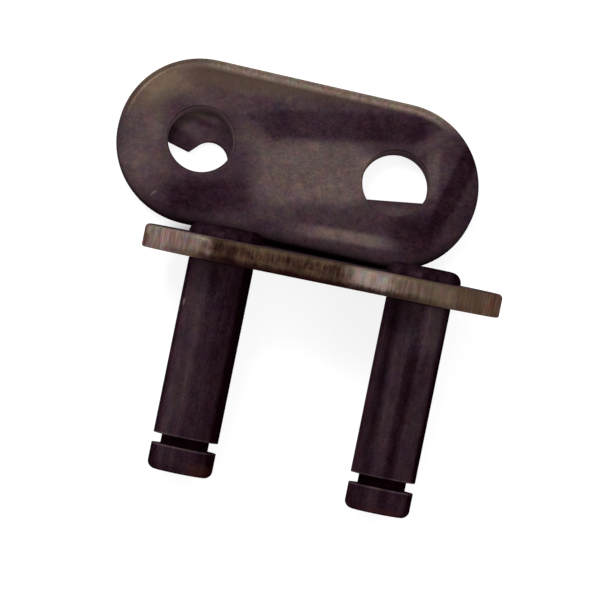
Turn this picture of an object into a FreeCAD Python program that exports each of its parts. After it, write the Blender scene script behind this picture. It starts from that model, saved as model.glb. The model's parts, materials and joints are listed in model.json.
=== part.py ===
# Connecting link for a roller chain: a pin link with two riveted pins, the loose
# cover plate that closes it and the spring clip that snaps onto the pin ends.
# The three lie as they come to rest on a flat surface, as laid out beside each other:
# the pin link on the edge of its plate and on both pin ends, the clip flat, and the
# cover plate flat on the clip.
# Millimetres, +Z up. X runs along the pitch, +Y from the pin ends towards the plates.
# The origin is on the surface, at the middle of the footprint.
import FreeCAD
import Part
import math
import os

# Chain pitch, from pin to pin
pitch = 12.7

# Pin link plate, sheared from strip
link_plate_radius = 5.15
link_plate_thickness = 1.5
link_rim_outer = 0.3
link_rim_inner = 0.15

# Pins, shouldered, with a shank through the plate riveted over on its outer side
pin_diameter = 4.15
pin_reach = 13.6
pin_shank_diameter = 3.7
pin_shoulder_chamfer = 0.1
pin_end_collar = 1.66
pin_end_chamfer = 0.3
groove_width = 0.62
groove_diameter = 3.05
rivet_head_diameter = 4.8
rivet_head_height = 0.75
rivet_head_round = 0.5

# Cover plate, which slides over the free pin ends
cover_radius = 5.35
cover_thickness = 1.5
cover_rim_upper = 0.45
cover_chamfer_lower = 0.15
cover_bore_clearance = 0.05
bore_edge_break = 0.12

# Spring clip, stamped from strip: slot, neck, pocket for one pin groove, flared mouth
clip_thickness = 0.55
clip_slot_width = 3.13
clip_neck_gap = 0.5
clip_neck_angle = 27.0
clip_pocket_arc = 1.18
clip_grip = 0.09
clip_mouth_reach = 1.33
clip_mouth_gap = 1.5
clip_flare_angle = 23.0
clip_flare_length = 2.4
clip_prong_width = 2.1
clip_pocket_width = 2.25
clip_tip_width = 1.5
clip_web_width = 1.45
clip_seat_slack = 1.0
clip_nub_round = 0.12
clip_tip_round = 0.4

# How the loose pieces lie
cover_shift = -2.68
cover_gap = 0.0
cover_turn = -1.4
clip_pocket_offset_x = 0.86
clip_pocket_offset_y = -1.11
clip_turn = 8.8

half_pitch = pitch / 2
pin_radius = pin_diameter / 2
shank_radius = pin_shank_diameter / 2
pin_end = link_plate_thickness + pin_reach
up = FreeCAD.Vector(0, 0, 1)
along = FreeCAD.Vector(1, 0, 0)


def point(x, y, z=0.0):
    return FreeCAD.Vector(x, y, z)


def edges_at(shape, z):
    """All edges of a shape that lie in the plane at height z."""
    flat = []
    for edge in shape.Edges:
        box = edge.BoundBox
        if abs(box.ZMin - z) < 1e-6 and abs(box.ZMax - z) < 1e-6:
            flat.append(edge)
    return flat


def obround(radius, thickness):
    """Plate with two round ends joined by straight sides."""
    left = -half_pitch
    right = half_pitch
    sides = [
        Part.LineSegment(point(left, -radius), point(right, -radius)),
        Part.Arc(point(right, -radius), point(right + radius, 0), point(right, radius)),
        Part.LineSegment(point(right, radius), point(left, radius)),
        Part.Arc(point(left, radius), point(left - radius, 0), point(left, -radius)),
    ]
    outline = Part.Wire([side.toShape() for side in sides])
    return Part.Face(outline).extrude(up * thickness)


def bored(plate, bore_radius, thickness, edge_break):
    """Plate with two bores at the pitch and, where asked, an edge break on both faces."""
    for x in (-half_pitch, half_pitch):
        plate = plate.cut(Part.makeCylinder(bore_radius, thickness, point(x, 0)))
        if edge_break:
            wide = bore_radius + edge_break
            lower = Part.makeCone(wide, bore_radius, edge_break, point(x, 0))
            upper = Part.makeCone(bore_radius, wide, edge_break, point(x, 0, thickness - edge_break))
            plate = plate.cut(lower).cut(upper)
    return plate


def pin_link_plate():
    """Plate with its outer face down at z = 0 and the pin holes through it."""
    plate = obround(link_plate_radius, link_plate_thickness)
    plate = plate.makeFillet(link_rim_outer, edges_at(plate, 0))
    plate = plate.makeFillet(link_rim_inner, edges_at(plate, link_plate_thickness))
    return bored(plate, shank_radius, link_plate_thickness, 0)


def pin(x):
    """One pin, turned: rivet head, shank in the plate, body, clip groove and collar."""
    groove_end = pin_end - pin_end_collar
    groove_start = groove_end - groove_width
    head_radius = rivet_head_diameter / 2
    groove_radius = groove_diameter / 2
    corners = [
        (0, -rivet_head_height),
        (head_radius, -rivet_head_height),
        (head_radius, 0),
        (shank_radius, 0),
        (shank_radius, link_plate_thickness),
        (pin_radius - pin_shoulder_chamfer, link_plate_thickness),
        (pin_radius, link_plate_thickness + pin_shoulder_chamfer),
        (pin_radius, groove_start),
        (groove_radius, groove_start),
        (groove_radius, groove_end),
        (pin_radius, groove_end),
        (pin_radius, pin_end - pin_end_chamfer),
        (pin_radius - pin_end_chamfer, pin_end),
        (0, pin_end),
    ]
    profile = Part.makePolygon([point(r, 0, z) for r, z in corners + corners[:1]])
    turned = Part.Face(profile).revolve(point(0, 0), up, 360)
    turned = turned.makeFillet(rivet_head_round, edges_at(turned, -rivet_head_height))
    turned.translate(point(x, 0))
    return turned


def resting_tilt():
    """Angle at which the plate's inner rim and the pin ends both touch the surface."""
    rim_y = -link_plate_radius + link_rim_inner
    rim_z = link_plate_thickness - link_rim_inner
    across = rim_y + pin_radius
    length = pin_end - pin_end_chamfer - rim_z
    span = math.hypot(across, length)
    tilt = math.asin(link_rim_inner / span) - math.atan2(across, length)
    height = rim_y * math.cos(tilt) - rim_z * math.sin(tilt) - link_rim_inner
    foot = -rim_y * math.sin(tilt) - rim_z * math.cos(tilt)
    return tilt, height, foot


def lay_pin_link(shape):
    """Turn a pin link piece from its own frame, outer face down, into its resting place."""
    tilt, height, foot = resting_tilt()
    laid = shape.copy()
    laid.rotate(point(0, 0), along, 90 + math.degrees(tilt))
    laid.translate(point(0, -foot, -height))
    return laid


def cover_reach_across():
    """Half the room the turned cover plate takes along Y."""
    return half_pitch * abs(math.sin(math.radians(cover_turn))) + cover_radius


def cover_place():
    """Y of the cover plate's centre, its edge beside the foot of the pin link plate."""
    tilt, height, foot = resting_tilt()
    outer_rim_y = -link_plate_radius + link_rim_outer
    outer_rim_z = link_rim_outer
    rim_centre = -outer_rim_y * math.sin(tilt) - outer_rim_z * math.cos(tilt) - foot
    return rim_centre + link_rim_outer + cover_gap + cover_reach_across()


def cover_plate():
    """Loose plate with two bores, lying on the clip."""
    plate = obround(cover_radius, cover_thickness)
    plate = plate.makeChamfer(cover_chamfer_lower, edges_at(plate, 0))
    plate = plate.makeFillet(cover_rim_upper, edges_at(plate, cover_thickness))
    plate = bored(plate, pin_radius + cover_bore_clearance, cover_thickness, bore_edge_break)
    plate.rotate(point(0, 0), up, cover_turn)
    plate.translate(point(cover_shift, cover_place(), clip_thickness))
    return plate


def pocket_side():
    """Offset from the clip's axis to the centre of the arc on each side of the pocket.

    Across, the free clip's pocket is a little smaller than the groove that it grips.
    """
    return (groove_diameter - clip_grip) / 2 - clip_pocket_arc


def neck_corner():
    """Where the pocket's arc meets the narrow neck to the slot."""
    half_gap = clip_neck_gap / 2
    return math.sqrt(clip_pocket_arc ** 2 - (half_gap - pocket_side()) ** 2), half_gap


def mouth_corner():
    """Nub at which the mouth is narrowest."""
    return -clip_mouth_reach, clip_mouth_gap / 2


def throat_end():
    """Where the straight side from the nub runs into the pocket's arc."""
    nub_x, nub_y = mouth_corner()
    rise = nub_y - pocket_side()
    angle = math.atan2(rise, nub_x) - math.acos(clip_pocket_arc / math.hypot(nub_x, rise))
    return clip_pocket_arc * math.cos(angle), pocket_side() + clip_pocket_arc * math.sin(angle)


def prong_tips():
    """Inner and outer corner of the upper prong's flared tip."""
    nub_x, nub_y = mouth_corner()
    flare = math.radians(clip_flare_angle)
    x = nub_x - clip_flare_length * math.cos(flare)
    y = nub_y + clip_flare_length * math.sin(flare)
    return (x, y), (x, y + clip_tip_width)


def clip_blank():
    """Clip without its slot: round closed end, tapered prongs, narrower tips."""
    half_slot = clip_slot_width / 2
    half_width = half_slot + clip_prong_width
    nose = pitch + clip_seat_slack + half_slot + clip_web_width
    inner_tip, outer_tip = prong_tips()
    shoulder = (0, pocket_side() + clip_pocket_arc + clip_pocket_width)
    upper = [outer_tip, shoulder, (nose - half_width, half_width)]
    lower = [(x, -y) for x, y in reversed(upper)]
    sides = []
    for row in (upper, lower):
        for first, second in zip(row, row[1:]):
            sides.append(Part.LineSegment(point(*first), point(*second)))
    sides.insert(2, Part.Arc(point(*upper[-1]), point(nose, 0), point(*lower[0])))
    sides.append(Part.LineSegment(point(*lower[-1]), point(*upper[0])))
    outline = Part.Wire([side.toShape() for side in sides])
    return Part.Face(outline).extrude(up * clip_thickness)


def wedge(narrow_x, far_x, half_gap, half_far):
    """Opening that widens evenly from a narrow gap to a wider one further along."""
    corners = [(narrow_x, half_gap), (far_x, half_far), (far_x, -half_far), (narrow_x, -half_gap)]
    outline = Part.makePolygon([point(*corner) for corner in corners + corners[:1]])
    return Part.Face(outline).extrude(up * clip_thickness)


def clip_opening():
    """All that is open between the prongs: mouth, throat, pocket, neck, slot, round seat."""
    seat = pitch + clip_seat_slack
    half_slot = clip_slot_width / 2
    nub_x, nub_y = mouth_corner()
    neck_x, neck_y = neck_corner()
    throat_x, throat_y = throat_end()
    mouth_x = prong_tips()[0][0] - clip_tip_width
    mouth_spread = (nub_x - mouth_x) * math.tan(math.radians(clip_flare_angle))
    slot_start = neck_x + (half_slot - neck_y) / math.tan(math.radians(clip_neck_angle))
    slot_length = seat - slot_start
    mouth = wedge(nub_x, mouth_x, nub_y, nub_y + mouth_spread)
    throat = wedge(nub_x, throat_x, nub_y, throat_y)
    upper_arc = Part.makeCylinder(clip_pocket_arc, clip_thickness, point(0, pocket_side()))
    lower_arc = Part.makeCylinder(clip_pocket_arc, clip_thickness, point(0, -pocket_side()))
    way_out = Part.makeBox(neck_x, clip_neck_gap, clip_thickness, point(0, -neck_y))
    neck = wedge(neck_x, slot_start, neck_y, half_slot)
    slot = Part.makeBox(slot_length, clip_slot_width, clip_thickness, point(slot_start, -half_slot))
    round_seat = Part.makeCylinder(half_slot, clip_thickness, point(seat, 0))
    return mouth.fuse([throat, upper_arc, lower_arc, way_out, neck, slot, round_seat])


def rounded(shape, corners, radius):
    """Round the upright edges that stand on the given corners and their mirror images."""
    chosen = []
    for edge in shape.Edges:
        box = edge.BoundBox
        if box.ZLength < clip_thickness / 2:
            continue
        for x, y in corners:
            if math.hypot(box.Center.x - x, abs(box.Center.y) - y) < 1e-4:
                chosen.append(edge)
    return shape.makeFillet(radius, chosen)


def spring_clip():
    """Flat spring clip, lying on the surface under the cover plate."""
    clip = clip_blank().cut(clip_opening()).removeSplitter()
    clip = rounded(clip, [mouth_corner(), neck_corner()], clip_nub_round)
    clip = rounded(clip, prong_tips(), clip_tip_round)
    turn = math.radians(cover_turn)
    x = -half_pitch + clip_pocket_offset_x
    y = clip_pocket_offset_y
    clip.rotate(point(0, 0), up, cover_turn + clip_turn)
    centre_x = cover_shift + x * math.cos(turn) - y * math.sin(turn)
    centre_y = cover_place() + x * math.sin(turn) + y * math.cos(turn)
    clip.translate(point(centre_x, centre_y))
    return clip


def footprint_middle():
    """Middle of the box round all the pieces, seen from above."""
    tilt, height, foot = resting_tilt()
    turn = math.radians(cover_turn)
    left = cover_shift - half_pitch * math.cos(turn) - cover_radius
    right = half_pitch + link_plate_radius
    rim = pin_radius - pin_end_chamfer
    front = -rim * math.sin(tilt) - pin_end * math.cos(tilt) - foot
    back = cover_place() + cover_reach_across()
    return point((left + right) / 2, (front + back) / 2)


pieces = {
    "pin_link_plate": lay_pin_link(pin_link_plate()),
    "left_pin": lay_pin_link(pin(-half_pitch)),
    "right_pin": lay_pin_link(pin(half_pitch)),
    "cover_plate": cover_plate(),
    "spring_clip": spring_clip(),
}

os.makedirs("parts", exist_ok=True)
for name, shape in pieces.items():
    shape.translate(-footprint_middle())
    shape.exportStep(os.path.join("parts", name + ".step"))
    print(name, "valid", shape.isValid(), "solids", len(shape.Solids), "volume", round(shape.Volume, 3))
print("tilt of the pin link", round(math.degrees(resting_tilt()[0]), 3))
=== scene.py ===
# Looks of a roller chain's connecting link: pin link, cover plate and spring clip on a pale floor
import json
import math
import bpy
from mathutils import Matrix, Vector

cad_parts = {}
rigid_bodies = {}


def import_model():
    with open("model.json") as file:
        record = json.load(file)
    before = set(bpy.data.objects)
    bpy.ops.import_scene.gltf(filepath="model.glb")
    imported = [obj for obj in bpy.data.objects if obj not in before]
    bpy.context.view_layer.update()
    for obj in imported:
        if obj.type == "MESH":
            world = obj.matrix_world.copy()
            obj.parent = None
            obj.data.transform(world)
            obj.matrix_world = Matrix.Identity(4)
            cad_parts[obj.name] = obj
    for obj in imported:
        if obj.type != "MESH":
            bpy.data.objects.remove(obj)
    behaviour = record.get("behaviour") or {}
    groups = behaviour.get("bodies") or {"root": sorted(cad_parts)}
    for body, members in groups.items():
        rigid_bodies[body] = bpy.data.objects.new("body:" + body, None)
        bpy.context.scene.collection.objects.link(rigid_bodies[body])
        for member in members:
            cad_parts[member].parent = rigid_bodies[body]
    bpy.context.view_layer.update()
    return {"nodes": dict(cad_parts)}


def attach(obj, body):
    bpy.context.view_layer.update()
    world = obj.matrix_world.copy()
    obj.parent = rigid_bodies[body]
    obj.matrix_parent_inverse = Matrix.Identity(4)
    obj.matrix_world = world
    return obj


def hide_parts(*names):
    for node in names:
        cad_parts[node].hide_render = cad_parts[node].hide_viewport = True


for leftover in list(bpy.data.objects):
    bpy.data.objects.remove(leftover)

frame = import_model()
nodes = frame["nodes"]

# Sizes and places from the part, millimetres and degrees
half_pitch = 6.35
plate_thickness = 1.5
link_plate_radius = 5.15
link_inner_rim = 0.15
link_outer_rim = 0.3
pin_radius = 2.075
shank_radius = 1.85
shoulder_chamfer = 0.1
pin_end = 15.1
end_chamfer = 0.3
collar_length = 1.66
groove_width = 0.62
groove_radius = 1.525
groove_end = pin_end - collar_length
groove_start = groove_end - groove_width
head_radius = 2.4
head_height = 0.75
cover_radius = 5.35
cover_upper_rim = 0.45
cover_lower_rim = 0.15
cover_bore_radius = 2.125
bore_edge_break = 0.12
cover_turn = -1.4
cover_centre = (-1.2409, 8.1026, 0.55)
link_tilt = 102.8936
link_origin = (1.4391, 1.5076, 5.3252)

# Wear and finish on the pins that the plain solids leave out
head_round = 0.7
dimple_radius = 1.1
dimple_depth = 0.12
dimple_round = 0.3
dimple_floor_share = 0.6
worn_edge = 0.05
worn_end = 0.45

# Fineness of the pieces made by rule
half_circle_steps = 64
ring_points = 128
rounding_points = 8
weld_distance = 0.0005
sharp_turn = math.radians(25)

# Dark steel under its oxide, with its relief in metres
metal_share = 0.6
steel_edge_tint = (0.35, 0.3, 0.32, 1)
oxide_relief = 0.00001
sheared_relief = 0.00004

# Levels from dark to bare steel, before patches and noise
cover_level = 0.44
link_face_level = 0.5
link_edge_level = 0.36
link_edge_rust = 0.34
pin_level = 0.16
clip_level = 0.43
# The worn strip is bare steel painted only along the side that faces the light, partly a painted
# highlight
lit_worn_strip_level = 0.76
lit_worn_strip_rust = 0.28

# Display tones of bore walls painted lighter against their shade, painted highlights, olive bloom, blots
# with painted shade, and stains
left_bore_painted_light = (131, 107, 112)
right_bore_painted_light = (112, 90, 96)
cover_olive_highlight_tone = (96, 78, 58)
lit_worn_strip_tone = (114, 100, 80)
link_olive_tone = (98, 82, 60)
blot_and_shade_tone = (40, 17, 19)
dark_rust_tone = (34, 12, 14)
pale_rust_tone = (122, 88, 70)
pin_rust_tone = (98, 56, 36)

# The floor's glow, its grey and the shadow under the gap between the plates
floor_reach = 2.0
floor_glow = 0.81
floor_grey = (0.55, 0.55, 0.55, 1)
gap_shadow_tone = (60, 34, 40)
gap_shadow = {"Centre": (0.2, 2.62, 0), "Half size": (7.4, 0.5, 1), "Softness": 0.3}

# Lamps in metres and watts, and the photograph's camera
key_lamp = {"place": (-0.14, 0.12, 0.34), "size": 0.14, "power": 0.46}
fill_lamp = {"place": (0.22, -0.10, 0.26), "size": 0.16, "power": 0.12}
lamp_target = (0, 0, 0.004)
sky_strength = 0.45
camera_place = (-0.019363, -0.105672, 0.498082)
camera_ahead = (0.03921, 0.20682, -0.97759)
camera_upward = (-0.19865, 0.96043, 0.19522)
lens_length = 480
sensor_width = 36

# In metres
millimetre = 0.001


# Helpers for trees of both kinds
def feed(tree, socket, value):
    if isinstance(value, bpy.types.NodeSocket):
        tree.links.new(value, socket)
    else:
        socket.default_value = value


def put(tree, kind, inputs=(), **settings):
    """A node with its settings, and its inputs fed by name or number."""
    made = tree.nodes.new(kind)
    for name, value in settings.items():
        setattr(made, name, value)
    for key, value in dict(inputs).items():
        feed(tree, made.inputs[key], value)
    return made


def calc(tree, operation, *values):
    return put(tree, "ShaderNodeMath", enumerate(values), operation=operation).outputs[0]


def plus(tree, value, share, weight):
    """A value with a weighed share added to it."""
    return calc(tree, "ADD", value, calc(tree, "MULTIPLY", share, weight))


def point_at(tree, x=0.0, y=0.0, z=0.0):
    return put(tree, "ShaderNodeCombineXYZ", {0: x, 1: y, 2: z}).outputs[0]


def parts_of(tree, place):
    return put(tree, "ShaderNodeSeparateXYZ", {0: place}).outputs


def open_group(kind, name, inputs, outputs):
    """An empty node group with named sockets, what it is given and what it puts out."""
    tree = bpy.data.node_groups.new(name, kind)
    for label, default in inputs.items():
        sort = "Vector" if isinstance(default, tuple) else "Float"
        socket = tree.interface.new_socket(label, in_out="INPUT", socket_type="NodeSocket" + sort)
        socket.default_value = default
    for label, sort in outputs.items():
        tree.interface.new_socket(label, in_out="OUTPUT", socket_type="NodeSocket" + sort)
    return tree, tree.nodes.new("NodeGroupInput").outputs, tree.nodes.new("NodeGroupOutput").inputs


# Pieces made by rule: stamped plates with round ends and turned pins
def open_piece_tree(name, sizes):
    """An empty geometry tree with sizes in millimetres and the piece's turn, place and finish."""
    inputs = {**sizes, "Turn": (0, 0, 0), "Place": (0, 0, 0)}
    tree, given, out = open_group("GeometryNodeTree", name, inputs, {"Piece": "Geometry"})
    tree.interface.new_socket("Finish", in_out="INPUT", socket_type="NodeSocketMaterial")
    return tree, given, out


def by_number(tree, kind, values):
    """The value for each point of a line, by the point's number."""
    switch = put(tree, "GeometryNodeIndexSwitch", data_type=kind)
    while len(switch.index_switch_items) < len(values):
        switch.index_switch_items.new()
    feed(tree, switch.inputs[0], tree.nodes.new("GeometryNodeInputIndex").outputs[0])
    for socket, value in zip(switch.inputs[1:], values):
        feed(tree, socket, value)
    return switch.outputs[0]


def section(tree, corners):
    """Open line through corners, each a reach outwards, a height and a rounding.

    A sweep points the line's y down, so heights go in with the other sign.
    """
    places = [point_at(tree, reach, calc(tree, "MULTIPLY", height, -1)) for reach, height, _ in corners]
    roundings = [rounding for _, _, rounding in corners]
    row = put(tree, "GeometryNodeMeshLine", {"Count": len(corners)}).outputs[0]
    sockets = {0: row, "Position": by_number(tree, "VECTOR", places)}
    placed = put(tree, "GeometryNodeSetPosition", sockets).outputs[0]
    line = put(tree, "GeometryNodeMeshToCurve", {0: placed}).outputs[0]
    sockets = {0: line, "Count": rounding_points, "Radius": by_number(tree, "FLOAT", roundings),
               "Limit Radius": True}
    return put(tree, "GeometryNodeFilletCurve", sockets, mode="POLY").outputs[0]


def ring(tree, radius, points=ring_points):
    sockets = {"Resolution": points, "Radius": radius}
    return put(tree, "GeometryNodeCurvePrimitiveCircle", sockets).outputs[0]


def welded(tree, mesh):
    return put(tree, "GeometryNodeMergeByDistance", {0: mesh, "Distance": weld_distance}).outputs[0]


def swept(tree, path, outline):
    """A wall made by carrying a section along a path, smooth apart from its sharp turns."""
    wall = welded(tree, put(tree, "GeometryNodeCurveToMesh", {0: path, 1: outline}).outputs[0])
    smooth = put(tree, "GeometryNodeSetShadeSmooth", {0: wall}).outputs[0]
    angle = tree.nodes.new("GeometryNodeInputMeshEdgeAngle").outputs[0]
    is_sharp = calc(tree, "GREATER_THAN", angle, sharp_turn)
    sockets = {0: smooth, "Selection": is_sharp, "Shade Smooth": False}
    return put(tree, "GeometryNodeSetShadeSmooth", sockets, domain="EDGE").outputs[0]


def round_ended(tree, half_length, radius, steps=half_circle_steps):
    """Closed outline of two half circles joined by straight sides."""
    number = tree.nodes.new("GeometryNodeInputIndex").outputs[0]
    second = calc(tree, "GREATER_THAN", number, steps + 0.5)
    angle = calc(tree, "MULTIPLY", calc(tree, "SUBTRACT", number, second), math.pi / steps)
    side = calc(tree, "SUBTRACT", 1, calc(tree, "MULTIPLY", second, 2))
    centre = calc(tree, "MULTIPLY", half_length, side)
    x = plus(tree, centre, radius, calc(tree, "SINE", angle))
    y = calc(tree, "MULTIPLY", radius, calc(tree, "COSINE", calc(tree, "SUBTRACT", math.pi, angle)))
    sockets = {0: ring(tree, 1.0, 2 * steps + 2), "Position": point_at(tree, x, y)}
    return put(tree, "GeometryNodeSetPosition", sockets).outputs[0]


def joined(tree, *meshes):
    made = tree.nodes.new("GeometryNodeJoinGeometry")
    for mesh in meshes:
        tree.links.new(mesh, made.inputs[0])
    return made.outputs[0]


def end_tree(tree, given, out, mesh):
    """Lays a piece in its place, takes it to metres and gives it its finish."""
    sockets = {0: welded(tree, mesh), "Translation": given["Place"], "Rotation": given["Turn"]}
    laid = put(tree, "GeometryNodeTransform", sockets).outputs[0]
    metres = put(tree, "GeometryNodeTransform", {0: laid, "Scale": (millimetre,) * 3}).outputs[0]
    real = put(tree, "GeometryNodeRealizeInstances", {0: metres}).outputs[0]
    finished = put(tree, "GeometryNodeSetMaterial", {0: real, "Material": given["Finish"]}).outputs[0]
    feed(tree, out["Piece"], finished)
    return tree


def flat_face(tree, walls, thickness, upper):
    """The flat side of a plate, filled between the upper or lower open edges of its walls."""
    faces_beside = tree.nodes.new("GeometryNodeInputMeshEdgeNeighbors").outputs[0]
    open_edge = calc(tree, "LESS_THAN", faces_beside, 1.5)
    position = tree.nodes.new("GeometryNodeInputPosition").outputs[0]
    height = parts_of(tree, position)["Z"]
    middle = calc(tree, "MULTIPLY", thickness, 0.5)
    here = calc(tree, "GREATER_THAN" if upper else "LESS_THAN", height, middle)
    sockets = {0: walls, "Selection": calc(tree, "MULTIPLY", open_edge, here)}
    loops = put(tree, "GeometryNodeMeshToCurve", sockets).outputs[0]
    filled = put(tree, "GeometryNodeFillCurve", {0: loops}, mode="TRIANGLES").outputs[0]
    if upper:
        sockets = {0: filled, "Translation": point_at(tree, z=thickness)}
        return put(tree, "GeometryNodeTransform", sockets).outputs[0]
    return put(tree, "GeometryNodeFlipFaces", {0: filled}).outputs[0]


def make_plate_tree():
    """Stamped plate: round-ended outline with rolled rims, two bores and two flat sides."""
    tree, given, out = open_piece_tree("stamped_plate", {
        "Half pitch": half_pitch, "Radius": cover_radius, "Thickness": plate_thickness,
        "Upper rim": cover_upper_rim, "Lower rim": cover_lower_rim,
        "Bore radius": cover_bore_radius, "Edge break": bore_edge_break})
    thickness, broken = given["Thickness"], given["Edge break"]
    outline = round_ended(tree, given["Half pitch"], given["Radius"])
    rim = swept(tree, outline, section(tree, [
        (calc(tree, "MULTIPLY", given["Upper rim"], -1), thickness, 0.0),
        (0.0, thickness, given["Upper rim"]),
        (0.0, 0.0, given["Lower rim"]),
        (calc(tree, "MULTIPLY", given["Lower rim"], -1), 0.0, 0.0),
    ]))
    bore = swept(tree, ring(tree, given["Bore radius"]), section(tree, [
        (broken, 0.0, 0.0),
        (0.0, broken, 0.0),
        (0.0, calc(tree, "SUBTRACT", thickness, broken), 0.0),
        (broken, thickness, 0.0),
    ]))
    start = point_at(tree, calc(tree, "MULTIPLY", given["Half pitch"], -1))
    stride = point_at(tree, calc(tree, "MULTIPLY", given["Half pitch"], 2))
    sockets = {"Count": 2, "Start Location": start, "Offset": stride}
    centres = put(tree, "GeometryNodeMeshLine", sockets).outputs[0]
    bores = put(tree, "GeometryNodeInstanceOnPoints", {"Points": centres, "Instance": bore}).outputs[0]
    walls = joined(tree, rim, put(tree, "GeometryNodeRealizeInstances", {0: bores}).outputs[0])
    sides = [flat_face(tree, walls, thickness, upper) for upper in (True, False)]
    return end_tree(tree, given, out, joined(tree, walls, *sides))


def make_pin_tree():
    """Turned pin: collar, clip groove, body, shank, and a rivet head with a spun dimple."""
    tree, given, out = open_piece_tree("turned_pin", {
        "End": pin_end, "End chamfer": end_chamfer, "Body radius": pin_radius,
        "Groove radius": groove_radius, "Groove start": groove_start, "Groove end": groove_end,
        "Plate thickness": plate_thickness, "Shoulder chamfer": shoulder_chamfer,
        "Shank radius": shank_radius, "Head radius": head_radius, "Head height": head_height,
        "Head round": head_round, "Dimple radius": dimple_radius, "Dimple depth": dimple_depth,
        "Dimple round": dimple_round, "Worn edge": worn_edge, "Worn end": worn_end})
    body, shank = given["Body radius"], given["Shank radius"]
    groove, head = given["Groove radius"], given["Head radius"]
    end, plate, worn = given["End"], given["Plate thickness"], given["Worn edge"]
    foot = calc(tree, "MULTIPLY", given["Head height"], -1)
    hollow = calc(tree, "ADD", foot, given["Dimple depth"])
    dimple, dished = given["Dimple radius"], given["Dimple round"]
    corners = [
        (0.0, end, 0.0),
        (calc(tree, "SUBTRACT", body, given["End chamfer"]), end, given["Worn end"]),
        (body, calc(tree, "SUBTRACT", end, given["End chamfer"]), given["Worn end"]),
        (body, given["Groove end"], worn),
        (groove, given["Groove end"], worn),
        (groove, given["Groove start"], worn),
        (body, given["Groove start"], worn),
        (body, calc(tree, "ADD", plate, given["Shoulder chamfer"]), worn),
        (calc(tree, "SUBTRACT", body, given["Shoulder chamfer"]), plate, 0.0),
        (shank, plate, 0.0),
        (shank, 0.0, 0.0),
        (head, 0.0, 0.0),
        (head, foot, given["Head round"]),
        (dimple, foot, dished),
        (calc(tree, "MULTIPLY", dimple, dimple_floor_share), hollow, dished),
        (0.0, hollow, 0.0),
    ]
    path_radius = 1.0
    turned = [(calc(tree, "SUBTRACT", reach, path_radius), *rest) for reach, *rest in corners]
    return end_tree(tree, given, out, swept(tree, ring(tree, path_radius), section(tree, turned)))


def made_by_rule(name, tree, sizes, finish):
    """A plain mesh piece from a geometry tree, its sizes and its finish."""
    piece = bpy.data.objects.new(name, bpy.data.meshes.new("start"))
    bpy.context.scene.collection.objects.link(piece)
    maker = piece.modifiers.new("shape", "NODES")
    maker.node_group = tree
    for socket in tree.interface.items_tree:
        if socket.name in sizes:
            maker[socket.identifier] = sizes[socket.name]
        elif socket.name == "Finish":
            maker[socket.identifier] = finish
    graph = bpy.context.evaluated_depsgraph_get()
    shape = bpy.data.meshes.new_from_object(piece.evaluated_get(graph), depsgraph=graph)
    piece.modifiers.remove(maker)
    piece.data = shape
    shape.materials.clear()
    shape.materials.append(finish)
    return piece


# Shader helpers
def tone(red, green, blue):
    """Display tone, 0 to 255, as the linear colour that a material takes."""
    linear = []
    for part in (red, green, blue):
        linear.append(((part / 255 + 0.055) / 1.055) ** 2.4 if part > 10 else part / 255 / 12.92)
    return (*linear, 1.0)


def step(tree, value, low, high):
    """0 below low and 1 above high, with a smooth passage."""
    sockets = {"Value": value, "From Min": low, "From Max": high}
    return put(tree, "ShaderNodeMapRange", sockets, interpolation_type="SMOOTHSTEP").outputs["Result"]


def fall(tree, value, low, high):
    """1 below low and 0 above high, with a smooth passage."""
    return calc(tree, "SUBTRACT", 1, step(tree, value, low, high))


def span(tree, value, low, high):
    """0 to 1 taken to a range."""
    sockets = {"Value": value, "To Min": low, "To Max": high}
    return put(tree, "ShaderNodeMapRange", sockets).outputs["Result"]


def vector_calc(tree, operation, first, second):
    return put(tree, "ShaderNodeVectorMath", {0: first, 1: second}, operation=operation).outputs[0]


def blend_tones(tree, share, first, second, manner="MIX"):
    share_socket, first_socket, second_socket, result_socket = 0, 6, 7, 2
    sockets = {share_socket: share, first_socket: first, second_socket: second}
    made = put(tree, "ShaderNodeMix", sockets, data_type="RGBA", blend_type=manner)
    return made.outputs[result_socket]


def noise(tree, place, scale, detail, roughness):
    sockets = {"Vector": place, "Scale": scale, "Detail": detail, "Roughness": roughness}
    return put(tree, "ShaderNodeTexNoise", sockets).outputs


def cloud(tree, place, scale, detail, roughness):
    """Noise from 0 to 1."""
    return noise(tree, place, scale, detail, roughness)["Fac"]


def swing(tree, place, scale, detail, roughness):
    """Noise from minus a half to a half."""
    return calc(tree, "SUBTRACT", cloud(tree, place, scale, detail, roughness), 0.5)


def stretched(tree, place, scale):
    return put(tree, "ShaderNodeMapping", {"Vector": place, "Scale": scale}).outputs["Vector"]


def blend_ramp(tree, level, stops):
    """Display tones set along a level from 0 to 1."""
    ramp = tree.nodes.new("ShaderNodeValToRGB")
    elements = ramp.color_ramp.elements
    elements[0].position, elements[0].color = stops[0][0], tone(*stops[0][1])
    elements[1].position, elements[1].color = stops[-1][0], tone(*stops[-1][1])
    for position, colour in stops[1:-1]:
        elements.new(position).color = tone(*colour)
    feed(tree, ramp.inputs["Fac"], level)
    return ramp.outputs["Color"]


def use(tree, made, inputs):
    """A shader group placed in a tree."""
    box = tree.nodes.new("ShaderNodeGroup")
    box.node_tree = made
    for key, value in inputs.items():
        feed(tree, box.inputs[key], value)
    return box.outputs


# Effects that several finishes share
def make_depth_from_outline():
    """How far a place lies inside the round-ended outline of a plate."""
    tree, given, out = open_group(
        "ShaderNodeTree", "depth_from_outline",
        {"Place": (0, 0, 0), "Radius": cover_radius, "Half pitch": half_pitch}, {"Depth": "Float"})
    x, y, _ = parts_of(tree, given["Place"])
    past_centre = calc(tree, "SUBTRACT", calc(tree, "ABSOLUTE", x), given["Half pitch"])
    beyond = calc(tree, "MAXIMUM", past_centre, 0)
    squares = plus(tree, calc(tree, "MULTIPLY", beyond, beyond), y, y)
    feed(tree, out["Depth"], calc(tree, "SUBTRACT", given["Radius"], calc(tree, "SQRT", squares)))
    return tree


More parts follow.
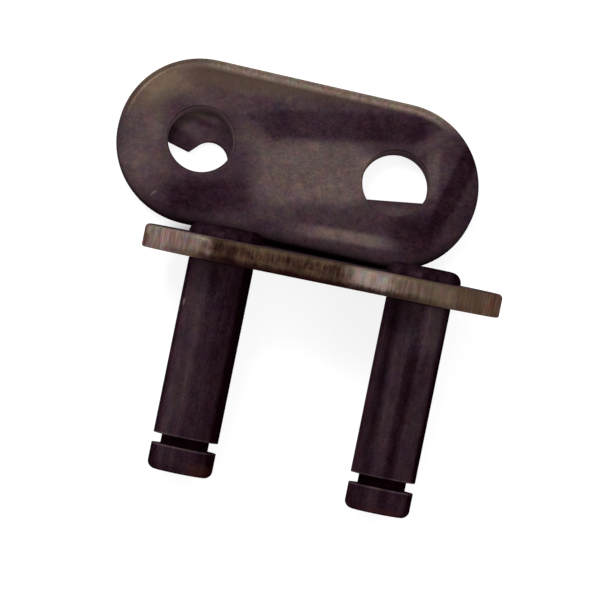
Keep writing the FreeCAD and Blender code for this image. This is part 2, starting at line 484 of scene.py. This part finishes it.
def make_soft_patch():
    """A soft-edged patch of tone, a rectangle with well rounded corners."""
    inputs = {"Place": (0, 0, 0), "Centre": (0, 0, 0), "Turn": (0, 0, 0), "Half size": (1, 1, 1),
              "Softness": 0.5}
    tree, given, out = open_group("ShaderNodeTree", "soft_patch", inputs, {"Share": "Float"})
    sockets = {"Vector": given["Place"], "Location": given["Centre"], "Rotation": given["Turn"],
               "Scale": given["Half size"]}
    inside = put(tree, "ShaderNodeMapping", sockets, vector_type="TEXTURE").outputs["Vector"]
    squares = vector_calc(tree, "MULTIPLY", inside, inside)
    across, along, _ = parts_of(tree, squares)
    fourth_powers = plus(tree, calc(tree, "MULTIPLY", across, across), along, along)
    reach = calc(tree, "POWER", fourth_powers, 0.25)
    near = calc(tree, "SUBTRACT", 1, given["Softness"])
    far = calc(tree, "ADD", 1, given["Softness"])
    feed(tree, out["Share"], fall(tree, reach, near, far))
    return tree


def make_oxide():
    """Dark heat-treatment oxide: a level, clouded, blotched and grained, to colour and gloss."""
    tree, given, out = open_group(
        "ShaderNodeTree", "heat_oxide",
        {"Place": (0, 0, 0), "Level": 0.5, "Clouding": 0.5, "Blotching": 0.35},
        {"Colour": "Color", "Roughness": "Float", "Height": "Float"})
    place = given["Place"]
    wide = swing(tree, place, scale=0.4, detail=3, roughness=0.55)
    fine = swing(tree, place, scale=2.2, detail=4, roughness=0.75)
    grain = swing(tree, place, scale=9.0, detail=2, roughness=0.8)
    mottle = plus(tree, calc(tree, "MULTIPLY", fine, 0.8), grain, 1.1)
    uneven = plus(tree, mottle, wide, 0.8)
    level = plus(tree, given["Level"], uneven, given["Clouding"])
    tones = blend_ramp(tree, level, [
        (0.0, (22, 4, 10)), (0.2, (45, 26, 36)), (0.4, (65, 47, 56)),
        (0.6, (84, 67, 70)), (0.8, (106, 88, 86)), (1.0, (134, 114, 102))])
    hues = noise(tree, place, scale=1.1, detail=3, roughness=0.6)["Color"]
    feed(tree, out["Colour"], blend_tones(tree, given["Blotching"], tones, hues, "OVERLAY"))
    feed(tree, out["Roughness"], span(tree, level, 0.52, 0.36))
    feed(tree, out["Height"], plus(tree, fine, grain, 0.6))
    return tree


def make_sheared():
    """Sheared steel edge: streaks across the thickness, rust stains and bare pale patches."""
    tree, given, out = open_group(
        "ShaderNodeTree", "sheared_edge", {"Place": (0, 0, 0), "Rust": 0.5, "Level": 0.5},
        {"Colour": "Color", "Roughness": "Float", "Height": "Float"})
    place = given["Place"]
    drawn_across = stretched(tree, place, (5, 5, 0.5))
    streaks = swing(tree, drawn_across, scale=1.0, detail=5, roughness=0.75)
    broad = stretched(tree, place, (1.1, 1.1, 0.8))
    blots = cloud(tree, broad, scale=1.0, detail=4, roughness=0.65)
    level = plus(tree, given["Level"], streaks, 1.3)
    tones = blend_ramp(tree, level, [
        (0.0, (58, 36, 30)), (0.3, (90, 68, 56)), (0.6, (126, 102, 92)), (1.0, (176, 156, 150))])
    hues = noise(tree, place, scale=1.6, detail=3, roughness=0.6)["Color"]
    bare = blend_tones(tree, 0.55, tones, hues, "OVERLAY")
    reach = calc(tree, "ADD", blots, calc(tree, "SUBTRACT", given["Rust"], 0.5))
    stained = step(tree, reach, 0.36, 0.8)
    speckle = swing(tree, place, scale=3.0, detail=3, roughness=0.7)
    mottle = plus(tree, calc(tree, "MULTIPLY", streaks, 2.8), speckle, 2.0)
    pale_share = calc(tree, "ADD", mottle, 0.36)
    rust = blend_tones(tree, pale_share, tone(*dark_rust_tone), tone(*pale_rust_tone))
    feed(tree, out["Colour"], blend_tones(tree, stained, bare, rust))
    feed(tree, out["Roughness"], span(tree, stained, 0.45, 0.75))
    feed(tree, out["Height"], plus(tree, streaks, stained, 0.3))
    return tree


depth_from_outline = make_depth_from_outline()
soft_patch = make_soft_patch()
heat_oxide = make_oxide()
sheared_edge = make_sheared()


# Patches in each piece's own millimetres: weight, centre, half size, turn in degrees, softness
# Painted reflections on the cover's face, lighter and darker patches; the last row is a light scratch
cover_reflections_and_scratch = [
    (0.33, (1.2, -0.45), (4.0, 2.05), 11.5, 0.26),
    (0.20, (-3.2, 1.0), (0.9, 0.9), 0, 0.6),
    (0.14, (-5.8, 2.7), (2.2, 0.7), 8, 0.6),
    (-0.15, (2.3, 2.84), (5.7, 0.95), 11, 0.25),
    (-0.05, (6.0, 2.6), (2.2, 1.3), 4, 0.3),
    (-0.02, (-6.9, 1.5), (2.8, 1.1), -18, 0.45),
    (0.16, (8.1, 3.3), (1.4, 0.35), 43, 0.5),
    (0.22, (8.5, 1.3), (0.45, 1.5), 5, 0.5),
    (0.14, (-3.4, 4.0), (3.0, 0.5), 2, 0.5),
    (0.20, (-10.2, -0.4), (1.6, 3.6), 10, 0.5),
    (0.42, (-9.4, 3.4), (1.6, 1.1), 30, 0.6),
    (-0.23, (-5.2, -3.6), (2.5, 1.1), 13, 0.5),
    (-0.24, (10.2, 0.9), (0.6, 3.1), -14, 0.35),
    (-0.10, (11.2, -0.6), (0.7, 3.0), -10, 0.5),
    (-0.26, (8.2, -3.0), (1.6, 1.3), 13, 0.5),
    (0.38, (4.2, -4.1), (3.0, 0.4), 3, 0.5),
    (0.10, (-0.9, -3.5), (1.2, 0.8), 13, 0.5),
    (0.38, (-8.57, -4.1), (0.05, 0.2), -40, 0.6),
]
# Tones along the sheared edge; the row at its lower edge is painted shade, the row at its upper edge a
# painted highlight
link_tones = [
    (0.36, (-9.6, 0.75), (2.1, 3.0), 8, 0.35),
    (0.56, (3.0, 0.75), (1.4, 3.0), 8, 0.5),
    (0.22, (6.4, 0.75), (2.0, 3.0), 0, 0.5),
    (-0.10, (-4.0, 0.75), (2.6, 3.0), 0, 0.5),
    (-0.40, (-1.6, 1.5), (6.4, 0.34), 0, 0.6),
    (0.16, (-1.6, 0.08), (8.0, 0.25), 0, 0.6),
    (-0.30, (-11.5, 0.75), (0.2, 3.0), 0, 0.5),
]
link_rust = [
    (-0.30, (-9.6, 0.75), (1.9, 3.0), 0, 0.45),
    (0.30, (-6.5, 0.6), (1.2, 0.9), 20, 0.5),
    (0.27, (-1.9, 0.75), (3.6, 3.0), 0, 0.4),
    (-0.3, (3.2, 0.75), (1.4, 3.0), 0, 0.5),
    (0.08, (10.8, 0.75), (1.2, 3.0), 0, 0.5),
]
# Olive on the sheared edge; the row at its upper edge is a painted highlight
link_olive = [
    (0.4, (7.4, 0.75), (2.8, 3.0), 0, 0.4),
    (0.5, (-1.0, 0.05), (8.0, 0.26), 0, 0.6),
    (0.42, (-3.0, 1.02), (5.4, 0.16), 0, 0.8),
]
# Dark blots on the sheared edge; the last row is painted shade along its lower edge
link_blots_and_shade = [
    (0.6, (-6.4, 0.7), (0.8, 0.6), 20, 0.6),
    (0.4, (-2.2, 0.8), (0.5, 0.5), 0, 0.8),
    (0.4, (0.6, 0.8), (0.6, 0.4), 10, 0.8),
    (0.9, (-0.5, 1.5), (7.6, 0.34), 0, 0.6),
]
# Painted light on the clip where it lies in the shade of the cover's bores, and a few darker patches
clip_light_and_shade_patches = [
    (-0.12, (-7.9, 0.0), (1.6, 0.6), -18, 0.4),
    (0.10, (-7.0, 0.9), (1.7, 0.35), -6, 0.6),
    (0.16, (-7.6, 1.5), (0.8, 0.6), 0, 0.6),
    (0.16, (6.5, -1.7), (2.4, 0.6), 0, 0.5),
    (-0.10, (-5.5, 0.9), (1.2, 0.5), -10, 0.5),
    (0.44, (-6.0, 2.1), (1.9, 0.45), 0, 0.6),
]
# Painted shade in the clip groove, the collar a touch darker, and painted glints along the groove's two
# edges
groove_collar_shade_and_glints = [
    (-0.35, (0, (groove_start + groove_end) / 2), (3, groove_width / 2), 0, 0.15),
    (-0.02, (0, pin_end - collar_length / 2), (3, collar_length / 2), 0, 0.1),
    (0.34, (0, groove_end + 0.06), (3, 0.06), 0, 0.5),
    (0.22, (0, groove_start - 0.05), (3, 0.06), 0, 0.5),
]
# Painted highlights and shade along the left pin, lighter on its left and darker on its right; the last
# row is a light scratch
left_highlight_and_shade_bands = [
    (0.30, (-1.15, 7.5), (0.75, 7.0), 0, 0.45),
    (0.10, (0.1, 7.5), (0.35, 7.5), 0, 0.5),
    (0.02, (0.9, 7.5), (0.5, 7.5), 0, 0.5),
    (-0.30, (1.95, 7.5), (0.45, 8.0), 0, 0.5),
    (0.5, (-1.85, 4.4), (0.05, 0.2), 0, 0.6),
]
left_rust = (0.2, (1.1, 14.7), (0.8, 0.35), 0, 0.6)
# Painted highlights and shade along the right pin; the patch near the plate lifts the shade under it
right_highlight_and_shade_bands = [
    (0.20, (-1.9, 7.5), (0.4, 8.0), 0, 0.5),
    (0.22, (-0.65, 7.5), (0.5, 7.5), 0, 0.6),
    (-0.06, (0.15, 7.5), (0.3, 7.5), 0, 0.5),
    (0.14, (1.2, 7.5), (0.6, 7.5), 0, 0.5),
    (0.24, (0.9, 3.0), (1.2, 1.6), 0, 0.5),
    (-0.20, (2.0, 7.5), (0.3, 8.0), 0, 0.5),
]
right_rust = (0.2, (0.2, 14.85), (1.2, 0.15), 0, 0.6)


# Finishes
def open_material(name):
    material = bpy.data.materials.new(name)
    material.use_nodes = True
    material.node_tree.nodes.clear()
    return material, material.node_tree


def open_finish(name, origin, turn):
    """A new material with its tree, its shader and the piece's own millimetre coordinates."""
    material, tree = open_material(name)
    shader = put(tree, "ShaderNodeBsdfPrincipled")
    put(tree, "ShaderNodeOutputMaterial", {"Surface": shader.outputs[0]})
    seen = tree.nodes.new("ShaderNodeTexCoord").outputs["Object"]
    sockets = {"Vector": seen, "Location": [c * millimetre for c in origin],
               "Rotation": [math.radians(c) for c in turn], "Scale": (millimetre,) * 3}
    place = put(tree, "ShaderNodeMapping", sockets, vector_type="TEXTURE").outputs["Vector"]
    shader.inputs["Specular IOR Level"].default_value = 0.0
    shader.inputs["Specular Tint"].default_value = steel_edge_tint
    shader.inputs["Metallic"].default_value = metal_share
    return material, tree, shader, place


def raised(tree, height, distance, strength):
    sockets = {"Height": height, "Distance": distance, "Strength": strength}
    return put(tree, "ShaderNodeBump", sockets).outputs["Normal"]


def without_metal(tree, share):
    """The metal share, less where a surface stays dull."""
    return span(tree, share, metal_share, 0.0)


def patches(tree, place, level, rows):
    """Soft patches added to a level, in rows of weight, centre, half size, turn and softness."""
    for weight, centre, half_size, turn, softness in rows:
        sockets = {"Place": place, "Centre": (*centre, 0), "Turn": (0, 0, math.radians(turn)),
                   "Half size": (*half_size, 1), "Softness": softness}
        share = use(tree, soft_patch, sockets)["Share"]
        level = plus(tree, level, share, weight)
    return level


def from_bore(tree, place, side):
    """How far a place is from the axis of one of the cover's bores."""
    sockets = {"Vector": place, "Location": (-side * half_pitch, 0, 0), "Scale": (1, 1, 0)}
    inside = put(tree, "ShaderNodeMapping", sockets).outputs["Vector"]
    return put(tree, "ShaderNodeVectorMath", {0: inside}, operation="LENGTH").outputs["Value"]


def bore_shares(tree, place):
    """Where the cover's bore walls are, and the broken edges round them."""
    left, right = (from_bore(tree, place, side) for side in (-1, 1))
    nearest = calc(tree, "MINIMUM", left, right)
    break_end = cover_bore_radius + bore_edge_break
    wall = fall(tree, nearest, cover_bore_radius + 0.005, cover_bore_radius + 0.02)
    return wall, fall(tree, nearest, break_end, break_end + 0.04)


def weathered_and_lit_side(tree, place, surface, depth, lit_side):
    """A surface with a painted olive highlight and a worn strip, partly painted highlight, along the
    side that faces the light.
    """
    x = parts_of(tree, place)["X"]
    spread = plus(tree, depth, x, 0.12)
    # Painted highlight: an olive tone near the edge, only on the side that faces the light
    olive = calc(tree, "MULTIPLY", fall(tree, spread, 0.5, 1.7), lit_side)
    olive = calc(tree, "MULTIPLY", olive, 0.5)
    olive_highlighted = blend_tones(tree, olive, surface, tone(*cover_olive_highlight_tone))
    # Painted highlight: a strip of bare worn steel along the edge, only on the side that faces the light
    worn = calc(tree, "MULTIPLY", fall(tree, depth, 0.42, 0.8), lit_side)
    worn = calc(tree, "MULTIPLY", worn, step(tree, x, -9.5, -5))
    sockets = {"Place": place, "Rust": lit_worn_strip_rust, "Level": lit_worn_strip_level}
    sheared = use(tree, sheared_edge, sockets)["Colour"]
    strip = blend_tones(tree, 0.35, sheared, tone(*lit_worn_strip_tone))
    return blend_tones(tree, worn, olive_highlighted, strip)


def cover_finish():
    """Clouded oxide with painted reflections, dull bores with walls and broken edges painted lighter
    against their shade, painted shade low on the outer wall, an olive upper side painted as a highlight
    and a worn strip along its edge that is partly painted highlight.
    """
    material, tree, shader, place = open_finish("cover_oxide", cover_centre, (0, 0, cover_turn))
    x, y, z = parts_of(tree, place)
    sockets = {"Place": place, "Radius": cover_radius, "Half pitch": half_pitch}
    depth = use(tree, depth_from_outline, sockets)["Depth"]
    bore_wall, edge_break = bore_shares(tree, place)
    # Painted shade on the lower half of the outer wall
    shaded_outer_wall = calc(tree, "MULTIPLY", fall(tree, z, 0.8, 1.2), fall(tree, depth, 0.1, 0.3))
    # Painted reflections on the cover's face
    level = patches(tree, place, cover_level, cover_reflections_and_scratch)
    # Painted light on the bores' broken edges, lifting their shade
    level = plus(tree, level, edge_break, 0.14)
    level = plus(tree, level, shaded_outer_wall, -0.2)
    oxide = use(tree, heat_oxide, {"Place": place, "Level": level, "Clouding": 0.45})
    # Bore walls painted lighter to lift their shade, each bore with its own tone
    bore_painted_light = blend_tones(tree, step(tree, x, -1, 1), tone(*left_bore_painted_light), tone(*right_bore_painted_light))
    surface = blend_tones(tree, bore_wall, oxide["Colour"], bore_painted_light)
    lit_side = step(tree, plus(tree, y, x, -0.17), 2.0, 3.7)
    unlit_rim = calc(tree, "SUBTRACT", fall(tree, depth, 0.35, 0.8), lit_side)
    dull = calc(tree, "MAXIMUM", bore_wall, calc(tree, "MAXIMUM", unlit_rim, 0))
    feed(tree, shader.inputs["Base Color"], weathered_and_lit_side(tree, place, surface, depth, lit_side))
    feed(tree, shader.inputs["Metallic"], without_metal(tree, dull))
    feed(tree, shader.inputs["Roughness"], oxide["Roughness"])
    feed(tree, shader.inputs["Normal"], raised(tree, oxide["Height"], oxide_relief, 0.5))
    return material


def wandering(tree, place, spread):
    """A shift from noise, of up to half a spread along each axis, that makes patches ragged."""
    hues = noise(tree, place, scale=1.3, detail=3, roughness=0.6)["Color"]
    centred = vector_calc(tree, "SUBTRACT", hues, (0.5, 0.5, 0.5))
    return vector_calc(tree, "MULTIPLY", centred, spread)


def link_plate_finish():
    """Oxide on the flat sides, and a sheared edge with rust, olive bloom and dark blots, painted lighter
    along its upper edge as a highlight and darker along its lower edge as shade.
    """
    material, tree, shader, place = open_finish("link_plate_oxide", link_origin, (link_tilt, 0, 0))
    x, _, z = parts_of(tree, place)
    shift = wandering(tree, place, (1.8, 0.6, 0.0))
    lengthwise = vector_calc(tree, "ADD", point_at(tree, x, z), shift)
    sockets = {"Place": place, "Radius": link_plate_radius, "Half pitch": half_pitch}
    depth = use(tree, depth_from_outline, sockets)["Depth"]
    oxide = use(tree, heat_oxide, {"Place": place, "Level": link_face_level})
    level = patches(tree, lengthwise, link_edge_level, link_tones)
    rust = patches(tree, lengthwise, link_edge_rust, link_rust)
    edge = use(tree, sheared_edge, {"Place": place, "Rust": rust, "Level": level})
    olive = patches(tree, lengthwise, 0.0, link_olive)
    tinted = blend_tones(tree, olive, edge["Colour"], tone(*link_olive_tone))
    # Dark blots, and painted shade along the band's lower edge
    blots = patches(tree, lengthwise, 0.0, link_blots_and_shade)
    tinted = blend_tones(tree, blots, tinted, tone(*blot_and_shade_tone))
    surface = blend_tones(tree, fall(tree, depth, 0.05, 0.25), oxide["Colour"], tinted)
    feed(tree, shader.inputs["Base Color"], surface)
    feed(tree, shader.inputs["Roughness"], edge["Roughness"])
    feed(tree, shader.inputs["Normal"], raised(tree, edge["Height"], sheared_relief, 0.5))
    return material


def pin_origin(sign):
    return (link_origin[0] + sign * half_pitch, *link_origin[1:])


def pin_finish(side, sign, highlight_and_shade_bands, rust_spot):
    """Oxide drawn out along the pin, with painted highlight and shade bands, painted shade in its groove
    with painted glints at the groove's edges, a spot of rust and a dull right side.
    """
    origin = pin_origin(sign)
    material, tree, shader, place = open_finish(side + "_pin_oxide", origin, (link_tilt, 0, 0))
    x, _, z = parts_of(tree, place)
    lengthwise = point_at(tree, x, z)
    drawn_out = stretched(tree, place, (2.2, 2.2, 0.12))
    drawn = swing(tree, drawn_out, scale=1.0, detail=3, roughness=0.6)
    # Painted highlight and shade bands, and the groove's painted shade and glints
    level = patches(tree, lengthwise, pin_level, highlight_and_shade_bands + groove_collar_shade_and_glints)
    level = plus(tree, level, drawn, 0.4)
    oxide = use(tree, heat_oxide, {"Place": place, "Level": level, "Clouding": 0.4})
    rust = patches(tree, lengthwise, 0.0, [rust_spot])
    dull = step(tree, x, 0.4 * pin_radius, 0.75 * pin_radius)
    surface = blend_tones(tree, rust, oxide["Colour"], tone(*pin_rust_tone))
    feed(tree, shader.inputs["Base Color"], surface)
    feed(tree, shader.inputs["Metallic"], without_metal(tree, dull))
    feed(tree, shader.inputs["Roughness"], oxide["Roughness"])
    feed(tree, shader.inputs["Normal"], raised(tree, oxide["Height"], oxide_relief, 0.4))
    return material


def clip_finish():
    material, tree, shader, place = open_finish("clip_oxide", cover_centre, (0, 0, cover_turn))
    # Painted light where the clip lies in the bores' shade
    level = patches(tree, place, clip_level, clip_light_and_shade_patches)
    oxide = use(tree, heat_oxide, {"Place": place, "Level": level})
    feed(tree, shader.inputs["Base Color"], oxide["Colour"])
    feed(tree, shader.inputs["Roughness"], oxide["Roughness"])
    feed(tree, shader.inputs["Normal"], raised(tree, oxide["Height"], oxide_relief, 0.4))
    return material


# The pieces in their places
plate_tree, pin_tree = make_plate_tree(), make_pin_tree()
link_turn = (math.radians(link_tilt), 0, 0)
link_sizes = {
    "Radius": link_plate_radius, "Upper rim": link_inner_rim, "Lower rim": link_outer_rim,
    "Bore radius": shank_radius, "Edge break": 0.0, "Turn": link_turn, "Place": link_origin}
cover_sizes = {
    "Radius": cover_radius, "Upper rim": cover_upper_rim, "Lower rim": cover_lower_rim,
    "Bore radius": cover_bore_radius, "Edge break": bore_edge_break,
    "Turn": (0, 0, math.radians(cover_turn)), "Place": cover_centre}
left_sizes = {"Turn": link_turn, "Place": pin_origin(-1)}
right_sizes = {"Turn": link_turn, "Place": pin_origin(1)}
pieces = [
    ("stamped_link_plate", "pin_link_plate", "plate_steel", plate_tree, link_sizes, link_plate_finish()),
    ("stamped_cover_plate", "cover_plate", "plate_steel", plate_tree, cover_sizes, cover_finish()),
    ("turned_left_pin", "left_pin", "pin_steel", pin_tree, left_sizes,
     pin_finish("left", -1, left_highlight_and_shade_bands, left_rust)),
    ("turned_right_pin", "right_pin", "pin_steel", pin_tree, right_sizes,
     pin_finish("right", 1, right_highlight_and_shade_bands, right_rust)),
]
for name, node, slot, tree, sizes, finish in pieces:
    piece = made_by_rule(name, tree, sizes, finish)
    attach(piece, "root")
    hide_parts(node)
nodes["spring_clip"].data.materials.clear()
nodes["spring_clip"].data.materials.append(clip_finish())


# Studio
def floor_finish():
    """Pale floor that shows white and keeps the shadows."""
    material, tree = open_material("pale_floor")
    seen = tree.nodes.new("ShaderNodeLightPath").outputs
    mirrored = calc(tree, "MAXIMUM", seen["Is Glossy Ray"], seen["Is Transmission Ray"])
    direct = calc(tree, "MAXIMUM", seen["Is Camera Ray"], mirrored)
    metres = tree.nodes.new("ShaderNodeTexCoord").outputs["Object"]
    place = stretched(tree, metres, (1 / millimetre,) * 3)
    shadow = use(tree, soft_patch, {"Place": place, **gap_shadow})["Share"]
    open_air = calc(tree, "SUBTRACT", 1, shadow)
    strength = calc(tree, "MULTIPLY", calc(tree, "MULTIPLY", direct, open_air), floor_glow)
    shade = blend_tones(tree, open_air, tone(*gap_shadow_tone), floor_grey)
    paint = put(tree, "ShaderNodeBsdfDiffuse", {"Color": shade}).outputs[0]
    glow = put(tree, "ShaderNodeEmission", {"Color": (1, 1, 1, 1), "Strength": strength}).outputs[0]
    both = put(tree, "ShaderNodeAddShader", {0: paint, 1: glow}).outputs[0]
    put(tree, "ShaderNodeOutputMaterial", {"Surface": both})
    return material


def lay_floor(half):
    mesh = bpy.data.meshes.new("floor")
    corners = [(-half, -half, 0), (half, -half, 0), (half, half, 0), (-half, half, 0)]
    mesh.from_pydata(corners, [], [(0, 1, 2, 3)])
    floor = bpy.data.objects.new("floor", mesh)
    bpy.context.scene.collection.objects.link(floor)
    mesh.materials.append(floor_finish())


def softbox(name, place, size, power):
    """A square lamp that looks at the middle of the part."""
    lamp = bpy.data.lights.new(name, "AREA")
    lamp.shape, lamp.size, lamp.energy = "SQUARE", size, power
    holder = bpy.data.objects.new(name, lamp)
    holder.location = place
    aim = Vector(lamp_target) - Vector(place)
    holder.rotation_euler = aim.to_track_quat("-Z", "Y").to_euler()
    bpy.context.scene.collection.objects.link(holder)


def light_studio():
    softbox("key_box", **key_lamp)
    softbox("fill_box", **fill_lamp)
    world = bpy.data.worlds.new("studio")
    bpy.context.scene.world = world
    world.use_nodes = True
    back = world.node_tree.nodes["Background"].inputs
    back["Color"].default_value = (1, 1, 1, 1)
    back["Strength"].default_value = sky_strength


def aim_camera():
    """The photograph's camera, from its place, the way it looks and its upward direction."""
    ahead = Vector(camera_ahead).normalized()
    right = ahead.cross(Vector(camera_upward)).normalized()
    turn = Matrix((right, right.cross(ahead), -ahead)).transposed()
    lens = bpy.data.cameras.new("camera")
    lens.sensor_width, lens.lens = sensor_width, lens_length
    lens.clip_start, lens.clip_end = 0.05, 5
    camera = bpy.data.objects.new("camera", lens)
    camera.matrix_world = Matrix.Translation(Vector(camera_place)) @ turn.to_4x4()
    bpy.context.scene.collection.objects.link(camera)
    bpy.context.scene.camera = camera


lay_floor(floor_reach)
light_studio()
aim_camera()
bpy.context.scene.view_settings.view_transform = "Standard"
